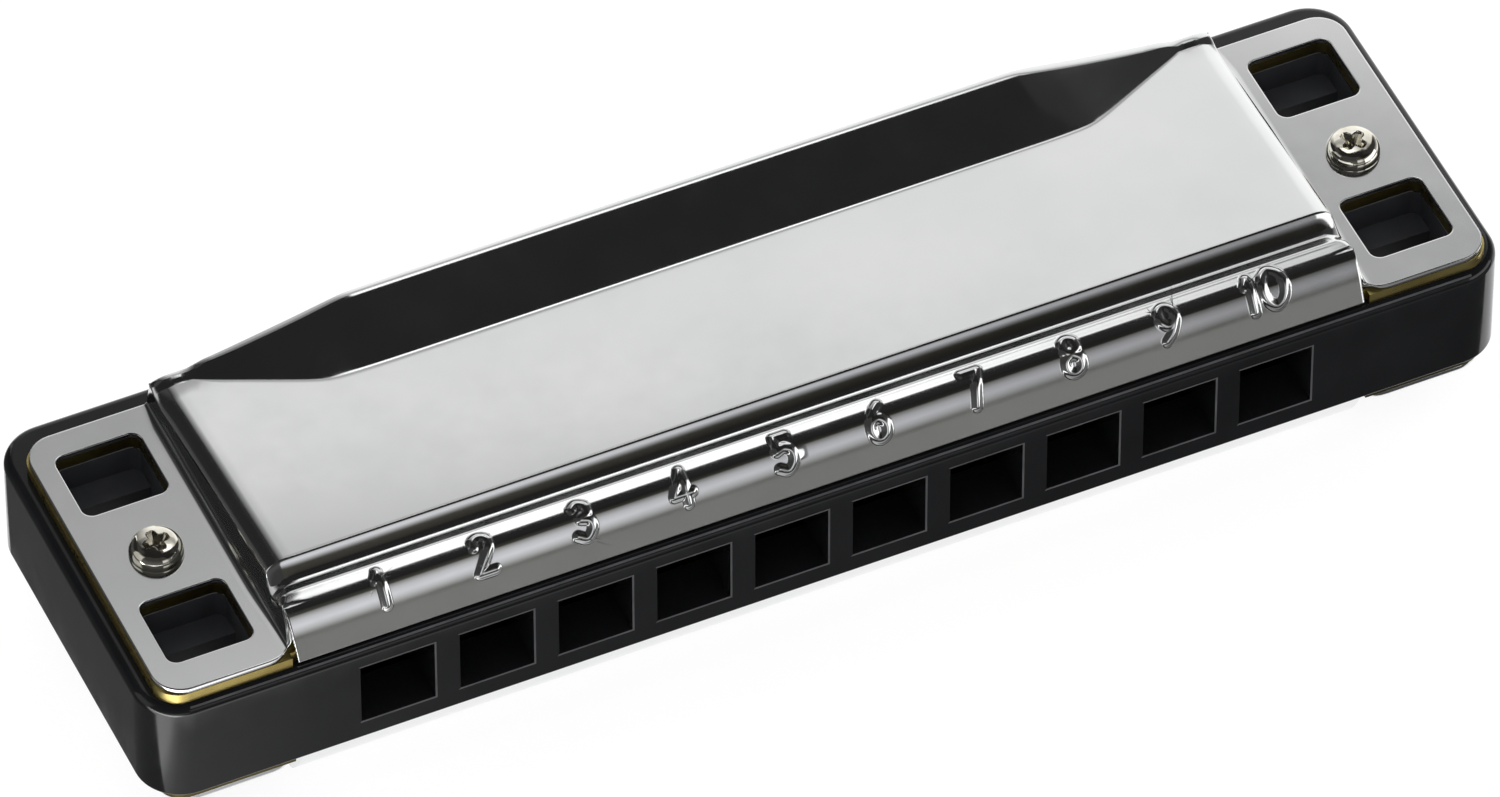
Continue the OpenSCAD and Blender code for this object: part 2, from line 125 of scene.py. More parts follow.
def settle(piece):
    """Makes the work of a piece's modifiers its own mesh"""
    bpy.context.view_layer.update()
    shaped = piece.evaluated_get(bpy.context.evaluated_depsgraph_get())
    mesh = bpy.data.meshes.new_from_object(shaped)
    piece.modifiers.clear()
    piece.data = mesh


def cut_away(piece, name, solids):
    """Takes closed solids, given as (points, faces), out of a piece"""
    points, faces = [], []
    for solid_points, solid_faces in solids:
        start = len(points)
        points += solid_points
        faces += [tuple(start + k for k in face) for face in solid_faces]
    cutter = new_piece(name, points, faces, smooth=False)
    step = piece.modifiers.new(name, "BOOLEAN")
    step.operation, step.solver, step.object = "DIFFERENCE", "EXACT", cutter
    settle(piece)
    bpy.data.objects.remove(cutter)


def sharpen(piece, angle):
    """Smooth shading with sharp edges above an angle, and flat faces kept flat"""
    for face in piece.data.polygons:
        face.use_smooth = True
    piece.data.set_sharp_from_angle(angle=math.radians(angle))
    step = piece.modifiers.new("even_shading", "WEIGHTED_NORMAL")
    step.keep_sharp = True
    step.weight = 100


def box_ring(x, half_width, y, z_low, z_high):
    """Corners of an upright rectangle that faces the mouth side"""
    return [(x - half_width, y, z_low), (x + half_width, y, z_low),
            (x + half_width, y, z_high), (x - half_width, y, z_high)]


comb_corner = 3.4 * mm
top_edge, bottom_edge = 0.7 * mm, 0.2 * mm
corner_steps = 14
edge_turns = [math.radians(a) for a in (0, 12, 24, 36, 45, 58, 70, 80, 90)]
comb_rings = []
for side, comb_edge, turns in ((-1, bottom_edge, edge_turns[::-1]), (1, top_edge, edge_turns)):
    for turn in turns:
        inset = comb_edge * (1 - math.cos(turn))
        z = comb_middle + side * ((comb_top - comb_middle) - comb_edge * (1 - math.sin(turn)))
        comb_rings.append([(x, y, z) for x, y in rounded_plan(
            comb_half - inset, comb_back - inset, comb_corner - inset, corner_steps)])
comb = new_piece("comb_moulding", *loft(comb_rings))

# the cutter of each mouth hole flares out in front, which leaves a burr at the face
hole_half, hole_rise = hole_width / 2, hole_height / 2
spread = burr_flare * burr_width
passages = []
for x in hole_x:
    passages.append(loft([
        box_ring(x, hole_half + spread, comb_front - (burr_flare - 1) * burr_depth,
                 comb_middle - hole_rise - spread, comb_middle + hole_rise + spread),
        box_ring(x, hole_half, comb_front + burr_depth, comb_middle - hole_rise,
                 comb_middle + hole_rise),
        box_ring(x, hole_half, comb_front + passage_depth + overshoot,
                 comb_middle - hole_rise, comb_middle + hole_rise)]))
cut_away(comb, "mouth_holes", passages)

chambers = []
for i, x in enumerate(hole_x):
    reed_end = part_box(f"blow_reed_{i + 1}")[1].y
    chambers.append(loft([
        box_ring(x, hole_half, y, comb_bottom - overshoot, comb_top + overshoot)
        for y in (comb_front + passage_depth, reed_end + chamber_spare)]))
cut_away(comb, "air_chambers", chambers)

# the wells repeat the windows of the covers, each with a slot through its floor
plate_low, plate_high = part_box("upper_reed_plate")
flange_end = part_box("upper_cover")[1].x
screw_low, screw_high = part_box("cover_screws")
hood_margin = 3.8 * mm
hood_half = hole_x[-1] + hole_pitch / 2 + hood_margin
window_width = 6.45 * mm
window_depth = 6.1 * mm
window_gap = 8.9 * mm
window_corner = 0.8 * mm
window_x = (flange_end + hood_half) / 2
screw_y = (screw_low.y + screw_high.y) / 2
window_offset = 0.5 * mm
window_middle = screw_y + window_offset
window_places = [(side * window_x, window_middle + end * (window_gap + window_depth) / 2)
                 for side in (-1, 1) for end in (-1, 1)]
well_depth = 2.3 * mm
well_slot = 1.8 * mm
well_chamfer = 0.12 * mm
wells, slots = [], []
for x, y in window_places:
    for side, face in ((1, comb_top), (-1, comb_bottom)):
        rings = []
        for grow, level in ((well_chamfer + overshoot, overshoot), (0, -well_chamfer),
                            (0, -well_depth)):
            rings.append([(px, py, face + side * level) for px, py in rounded_plan(
                window_width / 2 + grow, window_depth / 2 + grow, window_corner + grow, 6,
                (x, y))])
        wells.append(loft(rings[::side]))
    slots.append(loft([[(x + a * window_width / 2, y + b * well_slot / 2, z)
                        for a, b in ((-1, -1), (1, -1), (1, 1), (-1, 1))]
                       for z in (comb_bottom + well_depth / 2, comb_top - well_depth / 2)]))
cut_away(comb, "wells", wells)
cut_away(comb, "well_slots", slots)
sharpen(comb, 35)


def new_finish(name, metallic, roughness):
    """A material, its node tree and its Principled shader"""
    material = bpy.data.materials.new(name)
    material.use_nodes = True
    tree = material.node_tree
    shader = tree.nodes["Principled BSDF"]
    shader.inputs["Metallic"].default_value = metallic
    shader.inputs["Roughness"].default_value = roughness
    return material, tree, shader


def noise(tree, scale, detail=4.0, stretch=(1, 1, 1), roughness=0.55):
    """Noise in the row frame; scale counts features in a metre, stretch squeezes them"""
    place = tree.nodes.new("ShaderNodeTexCoord")
    squeeze = tree.nodes.new("ShaderNodeMapping")
    squeeze.inputs["Scale"].default_value = stretch
    cloud = tree.nodes.new("ShaderNodeTexNoise")
    cloud.inputs["Scale"].default_value = scale
    cloud.inputs["Detail"].default_value = detail
    cloud.inputs["Roughness"].default_value = roughness
    tree.links.new(place.outputs["Object"], squeeze.inputs["Vector"])
    tree.links.new(squeeze.outputs["Vector"], cloud.inputs["Vector"])
    return cloud.outputs["Fac"]


def ramp(tree, value, stops):
    """Colour ramp over a value; a stop is (place, colour or grey)"""
    band = tree.nodes.new("ShaderNodeValToRGB")
    elements = band.color_ramp.elements
    while len(elements) < len(stops):
        elements.new(0.5)
    for element, (place, shade) in zip(elements, stops):
        element.position = place
        element.color = (*(shade if isinstance(shade, tuple) else (shade,) * 3), 1)
    tree.links.new(value, band.inputs["Fac"])
    return band.outputs["Color"]


def follow(tree, shader, socket, value, stops):
    """Lets a socket of the shader follow a value through a ramp"""
    tree.links.new(ramp(tree, value, stops), shader.inputs[socket])


def relief(tree, shader, value, strength, depth):
    """Bump from a value, stacked on what the shader's normal already has"""
    bump = tree.nodes.new("ShaderNodeBump")
    bump.inputs["Strength"].default_value = strength
    bump.inputs["Distance"].default_value = depth
    if shader.inputs["Normal"].is_linked:
        tree.links.new(shader.inputs["Normal"].links[0].from_socket, bump.inputs["Normal"])
    tree.links.new(value, bump.inputs["Height"])
    tree.links.new(bump.outputs["Normal"], shader.inputs["Normal"])


def coat(piece, *finishes):
    """Gives a piece its finishes, in the order of its material slots"""
    piece.data.materials.clear()
    for finish in finishes:
        piece.data.materials.append(finish)


black_plastic, tree, shader = new_finish("gloss_black_plastic", 0.0, 0.2)
follow(tree, shader, "Base Color", noise(tree, 180, 3), [
    (0.3, (0.0055, 0.0058, 0.0064)), (0.7, (0.0085, 0.0088, 0.0098))])
follow(tree, shader, "Roughness", noise(tree, 420, 5), [(0.35, 0.09), (0.65, 0.16)])
relief(tree, shader, noise(tree, 900, 4), 0.06, 0.03 * mm)
shader.inputs["Specular IOR Level"].default_value = 0.45
# matt finish in the wells, with a base colour several times lighter than the gloss: painted light
# for the light the wells catch
matt_lit_well_plastic, tree, shader = new_finish("matt_black_plastic_painted_light", 0.0, 0.4)
follow(tree, shader, "Base Color", noise(tree, 300, 4), [
    (0.3, (0.028, 0.029, 0.033)), (0.7, (0.042, 0.044, 0.05))])
relief(tree, shader, noise(tree, 1400, 4), 0.2, 0.02 * mm)
# painted highlight: a lighter grey plastic stands in for the thin lines of light on the top front
# edge and the mouth-hole burrs
painted_highlight_plastic, tree, shader = new_finish("painted_highlight_edge_plastic", 0.0, 0.3)
follow(tree, shader, "Base Color", noise(tree, 500, 4), [
    (0.3, (0.05, 0.05, 0.053)), (0.7, (0.085, 0.085, 0.09))])
coat(comb, black_plastic, matt_lit_well_plastic, painted_highlight_plastic)

# matt inside the wells, with a lighter tone that is painted light; a painted highlight
# on the top front edge and on the burrs of the mouth holes, but for the burr at each hole's left
# side
lit_well_slot, highlight_slot = 1, 2
well_slack = 0.01 * mm
lit_well_start = 0.2 * mm
highlight_depth = 0.3 * mm
highlight_end = comb_half - 3 * mm
for face in comb.data.polygons:
    middle, normal = face.center, face.normal
    in_well = any(abs(middle.x - x) < window_width / 2 + well_slack
                  and abs(middle.y - y) < window_depth / 2 + well_slack
                  for x, y in window_places)
    if in_well and abs(middle.z - comb_middle) < comb_top - comb_middle - lit_well_start:
        face.material_index = lit_well_slot
    past = (middle.x / hole_pitch + hole_count / 2) % 1 - 0.5
    on_highlight_burr = (comb_front < middle.y < comb_front + burr_depth and normal.y < -0.9
               and abs(middle.x) < hole_count * hole_pitch / 2
               and past * hole_pitch > -hole_half)
    on_highlight_edge = (normal.y < -0.6 and 0.65 < normal.z < 0.8
               and middle.z > comb_top - highlight_depth and abs(middle.x) < highlight_end)
    # these faces get the painted highlight
    if on_highlight_edge or on_highlight_burr:
        face.material_index = highlight_slot
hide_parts("comb")
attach(comb, "frame")

# ---------- reed plates ----------
# Each plate is blanked from 0.9 mm brass strip, with a slot for every reed, and lies
# on the comb under its cover. Rolling lines run along it and its tone is stained unevenly;
# painted shade darkens it lower down, to near black on the lower plate.
plate_brass, tree, shader = new_finish("rolled_brass_plate", 1.0, 0.3)
grain = noise(tree, 60, 6, (1, 26, 26), 0.7)
stain = noise(tree, 95, 5)
brass = ramp(tree, stain, [(0.28, (0.28, 0.21, 0.06)), (0.5, (0.50, 0.40, 0.14)),
                           (0.72, (0.60, 0.50, 0.20))])
place = tree.nodes.new("ShaderNodeTexCoord")
split = tree.nodes.new("ShaderNodeSeparateXYZ")
tree.links.new(place.outputs["Object"], split.inputs[0])
# painted shade: the brass darkens with falling height, to near black on the lower plate
painted_shade_by_height = tree.nodes.new("ShaderNodeVectorMath")
painted_shade_by_height.operation = "MULTIPLY"
tree.links.new(brass, painted_shade_by_height.inputs[0])
tree.links.new(ramp(tree, split.outputs["Z"], [(4 * mm, 0.08), (8 * mm, 1.0)]),
               painted_shade_by_height.inputs[1])
tree.links.new(painted_shade_by_height.outputs[0], shader.inputs["Base Color"])
follow(tree, shader, "Roughness", grain, [(0.3, 0.22), (0.7, 0.42)])
relief(tree, shader, grain, 0.25, 0.02 * mm)
for name in ("upper_reed_plate", "lower_reed_plate"):
    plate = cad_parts[name]
    coat(plate, plate_brass)

# ---------- reeds, pads and rivets ----------
# Every reed is a thin brass tongue, milled along its length and riveted at its root,
# a little brighter than the plate it swings through.
reed_brass, tree, shader = new_finish("milled_reed_brass", 1.0, 0.24)
milling = noise(tree, 240, 5, (14, 1, 14), 0.7)
follow(tree, shader, "Base Color", milling, [(0.3, (0.70, 0.57, 0.27)),
                                             (0.7, (0.86, 0.76, 0.46))])
follow(tree, shader, "Roughness", milling, [(0.3, 0.18), (0.7, 0.34)])
relief(tree, shader, milling, 0.3, 0.01 * mm)
reed_nodes = [f"{kind}_reed_{i + 1}" for kind in ("blow", "draw") for i in range(hole_count)]
for name in reed_nodes + ["blow_reed_pads", "draw_reed_pads", "blow_reed_rivets",
                          "draw_reed_rivets"]:
    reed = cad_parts[name]
    coat(reed, reed_brass)

# ---------- plate screws ----------
# Small slotted pan-head screws, turned from brass and nickelled, hold each plate down
# on the comb under its cover.
nickel, tree, shader = new_finish("nickel_plate", 1.0, 0.16)
haze = noise(tree, 700, 4)
follow(tree, shader, "Base Color", haze, [(0.3, (0.70, 0.67, 0.56)),
                                          (0.65, (0.90, 0.87, 0.78))])
follow(tree, shader, "Roughness", haze, [(0.3, 0.12), (0.7, 0.06)])
relief(tree, shader, noise(tree, 1600, 3), 0.15, 0.01 * mm)
for name in ("upper_plate_screws", "lower_plate_screws"):
    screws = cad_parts[name]
    coat(screws, nickel)

# ---------- covers ----------
# Both covers are pressed from 0.45 mm stainless sheet and polished: a roll along the
# front, a groove and a step up to the top panel, a raised back edge, closed end walls
# with a relief slit at the front, and flat flanges with two windows and a screw hole.
sheet = 0.45 * mm
apron_lip = (0.5 * mm, 0.42 * mm)
# slope of the front section, in degrees, at distances in mm from the lip of the apron
SLOPES = [(0, 64.5), (1.48, 64.5), (1.78, 62.5), (2.49, 58), (3.04, 54.5), (3.39, 50), (3.59, 40.5),
          (3.79, 27), (4.0, 14.5), (4.15, 12.2), (4.3, 10.5), (4.62, 3.9), (5.01, 9.3), (5.21, 2.4),
          (5.36, -15), (5.69, -12), (5.86, -11.5), (6.0, -10.1), (6.12, 2.5), (6.17, 5.4),
          (6.28, 9.9), (6.39, 14.4), (6.54, 25.9), (6.78, 39.6), (6.9, 42.9), (7.12, 46.8),
          (7.38, 50.7), (7.48, 52.9), (7.69, 58.4), (7.82, 54.9), (7.91, 42.6), (7.95, 30),
          (8.03, -3.86)]


def front_section(step, turn_step):
    """Distance along, place, height and slope of its points, closer where it bends"""
    fine = 0.004
    along = np.arange(0, SLOPES[-1][0] + fine / 2, fine)
    slope = np.radians(np.interp(along, *zip(*SLOPES)))
    run, climb = np.cos(slope) * fine, np.sin(slope) * fine
    place = np.concatenate([[0], np.cumsum((run[1:] + run[:-1]) / 2)]) * mm + apron_lip[0]
    height = np.concatenate([[0], np.cumsum((climb[1:] + climb[:-1]) / 2)]) * mm + apron_lip[1]
    along = along * mm
    effort = along / step + np.concatenate([[0], np.cumsum(np.abs(np.diff(slope)))]) / turn_step
    rows = np.interp(np.linspace(0, effort[-1], int(effort[-1]) + 2), effort, along)
    return [np.interp(rows, along, values) for values in (along, place, height, slope)]


panel_front, panel_height = (values[-1] for values in front_section(0.1 * mm, 0.1)[1:3])
panel_slope = 0.0675
panel_curl = 0.0002 / mm
panel_back = 26.4 * mm
crest_height = 5.55 * mm
crest_half = 26.1 * mm
crest_bow = 0.6 * mm
crest_sink = 0.1 * mm
ramp_end = 40.2 * mm
ramp_soft = 0.05
crease_place = 21.1 * mm
crease_half = 29.6 * mm
crease_tip = 40.1 * mm
crease_blend = 0.5 * mm
crease_soft = 0.16 * mm
rise_limit = 0.46
rise_fade = 1.2 * mm
lip_width = 0.8 * mm
lip_room = 0.15 * mm
lip_curl = 0.76 / mm
curl_fade = 1.5 * mm


def soft_step(t):
    """A step from 0 to 1 that starts and ends level"""
    t = np.clip(t, 0, 1)
    return t * t * (3 - 2 * t)


def crest_share(x):
    """1 along the raised middle of the back edge, 0 at its outer ends"""
    share = (ramp_end - np.abs(x)) / (ramp_end - crest_half)
    return np.clip(0.5 * (share + 1 - np.sqrt((share - 1) ** 2 + ramp_soft ** 2)), 0, 1)


def back_edge(x):
    """Place of the back edge, bowed out along its raised middle"""
    return panel_back + crest_bow * crest_share(x)


def panel_level(s):
    """Height of the top panel, which falls towards the back"""
    past = s - panel_front
    return panel_height - panel_slope * past - panel_curl * past * past


def crease_line(x):
    """Place where the panel turns up to the back edge; it runs askew at both ends"""
    reach = (panel_back - crease_place) / (crease_tip - crease_half)
    diagonal = crease_place + (np.abs(x) - crease_half) * reach
    blend = 0.5 * (diagonal + crease_place
                   + np.sqrt((diagonal - crease_place) ** 2 + crease_blend ** 2))
    return np.minimum(blend, back_edge(x) - lip_width - lip_room)


def hood_level(x, s):
    """Height of the hood behind the step, with the raised back edge and its lip"""
    lip_start = back_edge(x) - lip_width
    corner = panel_level(back_edge(np.full_like(x, ramp_end)))
    target = corner + (crest_height - corner) * crest_share(x) - crest_sink * crest_share(x)
    crease = crease_line(x)
    rise = (target - panel_level(lip_start)) / (lip_start - crease)
    rise = np.clip(rise, 0, rise_limit) * soft_step((ramp_end - np.abs(x)) / rise_fade)
    past = 0.5 * ((s - crease) + np.sqrt((s - crease) ** 2 + crease_soft ** 2))
    inside = np.maximum(s - lip_start, 0)
    curl = lip_curl * soft_step((ramp_end - np.abs(x)) / curl_fade)
    return np.minimum(panel_level(s) + rise * past - 0.5 * curl * inside ** 2, crest_height)


# strokes of the numbers 1 to 10, each drawn on a field 2 wide and 4 tall
DIGITS = [
    [[(0.62, 3.05), (0.95, 3.6), (1.15, 4.0)], [(1.15, 4.0), (1.15, 2), (1.15, 0)]],
    [[(0.15, 3.0), (0.35, 3.7), (1, 4), (1.65, 3.75), (1.85, 3.1), (1.5, 2.2), (0.8, 1.1),
      (0.1, 0)], [(0.1, 0), (1, 0), (1.9, 0)]],
    [[(0.2, 3.5), (0.9, 4), (1.65, 3.6), (1.65, 2.7), (0.8, 2.2)],
     [(0.8, 2.2), (1.7, 1.8), (1.85, 0.9), (1.1, 0), (0.1, 0.5)]],
    [[(1.4, 0), (1.4, 2), (1.4, 4)], [(1.4, 4), (0.7, 2.6), (0, 1.2)],
     [(0, 1.2), (1, 1.2), (2, 1.2)]],
    [[(1.75, 4), (1.1, 4), (0.4, 4)], [(0.4, 4), (0.3, 3.2), (0.2, 2.3)],
     [(0.2, 2.3), (1.05, 2.55), (1.8, 2), (1.85, 0.9), (1.1, 0), (0.1, 0.45)]],
    [[(1.6, 3.9), (0.75, 3), (0.15, 1.5), (0.4, 0.35), (1.05, 0), (1.75, 0.5), (1.8, 1.6),
      (1.1, 2.3), (0.35, 1.95), (0.12, 1.3)]],
    [[(0.1, 4), (1, 4), (1.9, 4)], [(1.9, 4), (1.25, 2.2), (0.8, 0)]],
    [[(1, 2.2), (0.35, 2.7), (0.4, 3.65), (1, 4), (1.6, 3.65), (1.65, 2.7), (1, 2.2), (0.2, 1.5),
      (0.25, 0.45), (1, 0), (1.75, 0.45), (1.8, 1.5), (1, 2.2)]],
    [[(0.4, 0.1), (1.25, 1), (1.85, 2.5), (1.6, 3.65), (0.95, 4), (0.25, 3.5), (0.2, 2.4),
      (0.9, 1.7), (1.65, 2.05), (1.88, 2.7)]],
    [[(-1.05, 3.05), (-0.72, 3.6), (-0.52, 4.0)], [(-0.52, 4.0), (-0.52, 2), (-0.52, 0)],
     [(2, 4.2), (1.1, 3.5), (0.76, 2.1), (1.1, 0.7), (2, 0), (2.9, 0.7), (3.24, 2.1), (2.9, 3.5),
      (2, 4.2)]]]
DIGIT_SHIFTS = [-0.2, 0, 0, 0, 0.36, 0, 0, 0, 0, 0]
digit_middle = (1, 2)
digit_scale = (0.68 * mm, 0.66 * mm)
digit_bead = 0.42 * mm
digit_proud = 0.19 * mm
digit_power = 1.12
digit_along = 3.3 * mm
digit_reach = 2.2 * mm
curve_steps = 8


def stroke_curve(points):
    """Smooth curve through the points of a stroke"""
    closed = points[0] == points[-1]
    pts = np.array(points, float)
    before = pts[-2] if closed else 2 * pts[0] - pts[1]
    after = pts[1] if closed else 2 * pts[-1] - pts[-2]
    pts = np.vstack([before, pts, after])
    curve = []
    for k in range(1, len(pts) - 2):
        for t in np.linspace(0, 1, curve_steps + 1)[:-1]:
            a, b, c, d = pts[k - 1:k + 3]
            curve.append(0.5 * (2 * b + (c - a) * t + (2 * a - 5 * b + 4 * c - d) * t ** 2
                                + (3 * b - a - 3 * c + d) * t ** 3))
    curve.append(pts[-2])
    return np.array(curve)


def stroke_distance(x, y, strokes):
    """Distance from points to the nearest stroke of a number"""
    nearest = np.full(x.shape, 1.0)
    for stroke in strokes:
        curve = (stroke_curve(stroke) - digit_middle) * digit_scale
        for a, b in zip(curve[:-1], curve[1:]):
            d = b - a
            t = np.clip(((x - a[0]) * d[0] + (y - a[1]) * d[1]) / max(d @ d, 1e-12), 0, 1)
            nearest = np.minimum(nearest, np.hypot(x - a[0] - t * d[0], y - a[1] - t * d[1]))
    return nearest


def raise_digits(hood, along, normal):
    """Lifts the numbers out of the front of the hood, each before its own hole"""
    rows = np.where(np.abs(along - digit_along) < digit_reach)[0]
    for hole, shift, strokes in zip(hole_x, DIGIT_SHIFTS, DIGITS):
        near = np.where(np.abs(hood[0, :, 0] - hole) < digit_reach)[0]
        x = hood[np.ix_(rows, near)][:, :, 0] - hole - shift * mm
        y = np.repeat((along[rows] - digit_along)[:, None], len(near), 1)
        away = stroke_distance(x, y, strokes) / digit_bead
        swell = digit_proud * (1 - np.clip(away, 0, 1) ** 2) ** digit_power
        for row, lift in zip(rows, swell):
            hood[row, near, 1] += lift * normal[row, 0]
            hood[row, near, 2] += lift * normal[row, 1]


fine_gap = 0.08 * mm
coarse_gap = 0.7 * mm
digit_room = (1.25 * mm, 1.4 * mm)
ten_room = (1.9 * mm, 2.05 * mm)
crease_room, crease_rows = 1.2 * mm, 0.5 * mm


def numbered_columns(inner):
    """Columns of points along a cover: fine across each number, wider between them"""
    columns = [-inner]

    def add(gap, count):
        start = columns[-1]
        columns.extend(start + gap * k / count for k in range(1, count + 1))

    for i, x in enumerate(hole_x):
        left, right = ten_room if i == hole_count - 1 else digit_room
        low, high = x - left, x + right
        gap = low - columns[-1]
        add(gap, max(2, round(gap / coarse_gap)))
        add(high - low, round((high - low) / fine_gap))
    add(inner - columns[-1], 4)
    return np.array(columns)


def rows_behind(x):
    """Rows of points behind the step; they follow the crease and the back edge"""
    crease, lip_start = crease_line(x), back_edge(x) - lip_width
    room = np.clip((lip_start - crease) / crease_room, 0.1, 1) * crease_rows
    rows = [panel_front + (crease - room - panel_front) * p
            for p in (0.01, 0.03, 0.07, 0.14, 0.24, 0.36, 0.48, 0.6, 0.72, 0.84, 0.93, 1)]
    rows += [crease + room * d for d in (-0.7, -0.45, -0.25, -0.1, 0.1, 0.25, 0.45, 0.7, 1)]
    rows += [crease + room + (lip_start - crease - room) * p for p in (0.25, 0.5, 0.75, 1)]
    rows += [lip_start + lip_width * p for p in np.linspace(0, 1, 8)[1:]]
    return np.array(rows)


def hood_rows(columns, place, height):
    """Place and height of every point over some columns, from the apron to the back"""
    behind = rows_behind(columns)
    s = np.concatenate([np.repeat(place[:, None], len(columns), 1), behind])
    h = np.concatenate([np.repeat(height[:, None], len(columns), 1),
                        hood_level(columns[None] + 0 * behind, behind)])
    return s, h


# turn of the sheet, in degrees, at distances in mm across the shoulder of an end wall
SHOULDER = [(0, 0), (0.15, 3), (0.55, 17), (0.95, 28), (1.35, 40), (1.65, 58), (1.9, 82)]
across = np.linspace(0, SHOULDER[-1][0], 491)
bend = np.radians(np.interp(across, *zip(*SHOULDER)))
picks = [int(round(len(across) * share)) - 1 for share in (
    0.15, 0.28, 0.4, 0.5, 0.6, 0.69, 0.76, 0.82, 0.87, 0.92, 0.96, 1)]
shoulder_width = (np.cumsum(np.cos(bend)) * across[1] * mm)[picks]
shoulder_drop = (np.cumsum(np.sin(bend)) * across[1] * mm)[picks]
flat_shares = np.array([0.5, 1.0])
apex_along = 4.45 * mm
apex_shoulder = 0.25
shoulder_growth = 1.5 * mm
far_behind = 9 * mm
corner_start, corner_run, corner_ease = 2 * mm, 1.6 * mm, 0.5
slit_close = 0.35 * mm
apron_end = 40.88 * mm
lean = math.radians(8)
foot_level = (plate_high.z - comb_top) + sheet


def wall_at(level):
    """Distance of an end wall from the middle, at a height above the comb"""
    return hood_half - (level - foot_level) * math.tan(lean)


def hood_end(inner, along, place, height):
    """Right end of the hood: a flat run out to the shoulder and its bend into the end
    wall; in front of the roll's apex a slit parts it from the wall"""
    count = len(flat_shares) + len(picks)
    s, h = hood_rows(np.full(count, inner), place, height)
    apex_row = int(np.argmin(np.abs(along - apex_along)))
    past = np.concatenate([along - along[apex_row], np.full(len(s) - len(along), far_behind)])
    size = apex_shoulder + (1 - apex_shoulder) * soft_step(past / shoulder_growth)
    fall = size * (1 - corner_ease * soft_step(
        (s[:, 0] - panel_back + corner_start) / corner_run))
    centre = wall_at(h[:, 0] - fall * shoulder_drop[-1]) - size * shoulder_width[-1]
    closed_x = np.concatenate([inner + (centre - inner)[:, None] * flat_shares[None],
                               centre[:, None] + size[:, None] * shoulder_width[None]], 1)
    sink = np.concatenate([np.zeros((len(s), len(flat_shares))),
                           fall[:, None] * shoulder_drop[None]], 1)
    edge_x = apron_end + (closed_x[apex_row, -1] - apron_end) * np.clip(
        1 + past / along[apex_row], 0, 1)
    even = np.linspace(0, 1, count + 1)[1:]
    open_x = inner + (edge_x - inner)[:, None] * even[None]
    shut = soft_step(1 + past / slit_close)[:, None]
    return np.stack([open_x + (closed_x - open_x) * shut, s, h - sink * shut], 2)


# forward sweep of an end wall's front edge, in mm, at heights and at reaches past its foot
SWEEP_HEIGHTS = [(1.42, 1.58), (1.8, 1.4), (2.4, 1.1), (2.95, 0.65), (3.4, 0.22), (3.7, 0)]
SWEEP_REACHES = [(0, 1.58), (0.2, 1.85), (0.5, 2.1), (0.9, 2.25), (1.3, 2.35)]
sweep_foot = 1.45 * mm
sweep_fade = 5 * mm
fillet_least, fillet_more = 0.25 * mm, 0.4 * mm
fillet_front, fillet_back = 3 * mm, panel_back + 0.4 * mm
fillet_front_run, fillet_back_run = 5 * mm, 3 * mm
flange_strip = 0.3 * mm


def end_wall(top, sign):
    """Grid of an end wall down from its top edge, with the fillet at its foot and the
    first strip of the flange"""
    grid = []
    for edge, s, h in top:
        fillet = fillet_least + fillet_more * soft_step(
            (s - fillet_front) / fillet_front_run) * soft_step((fillet_back - s) / fillet_back_run)
        centre = hood_half + fillet * (1 - math.sin(lean)) / math.cos(lean)
        arc = [(centre - fillet * math.cos(t), foot_level + fillet * (1 - math.sin(t)))
               for t in np.linspace(lean, math.pi / 2, 7)]
        wall = [(abs(edge) + (arc[0][0] - abs(edge)) * t, h + (arc[0][1] - h) * t)
                for t in np.linspace(0, 1, 10)[:-1]]
        fade = np.clip(1 - (s - top[0, 1]) / sweep_fade, 0, 1) ** 2
        line = []
        for x, level in wall + arc + [(arc[-1][0] + flange_strip, foot_level)]:
            sweep = np.interp(level / mm, *zip(*SWEEP_HEIGHTS))
            if level < sweep_foot:
                sweep = np.interp((x - hood_half) / mm, *zip(*SWEEP_REACHES))
            line.append((sign * x, s - sweep * mm * fade, level))
        grid.append(line)
    return np.array(grid)


# front edge of a flange beside its wall: how far it stands back, in mm, at reaches past
# the foot
FLANGE_FRONT = [(0.9, 0.14), (1.25, 0.06), (1.7, 0.015)]
flange_front = plate_low.y - comb_front
flange_back = plate_high.y - comb_front
flange_corner = 2.2 * mm
rim_start = 0.9 * mm
edge_ring = 0.13 * mm
screw_hole = 1.15 * mm


def inside_loop(x, y, loop):
    """Whether a point lies inside a closed plan outline"""
    inside = False
    for (ax, ay), (bx, by) in zip(loop, loop[1:] + loop[:1]):
        if (ay > y) != (by > y) and x < ax + (bx - ax) * (y - ay) / (by - ay):
            inside = not inside
    return inside


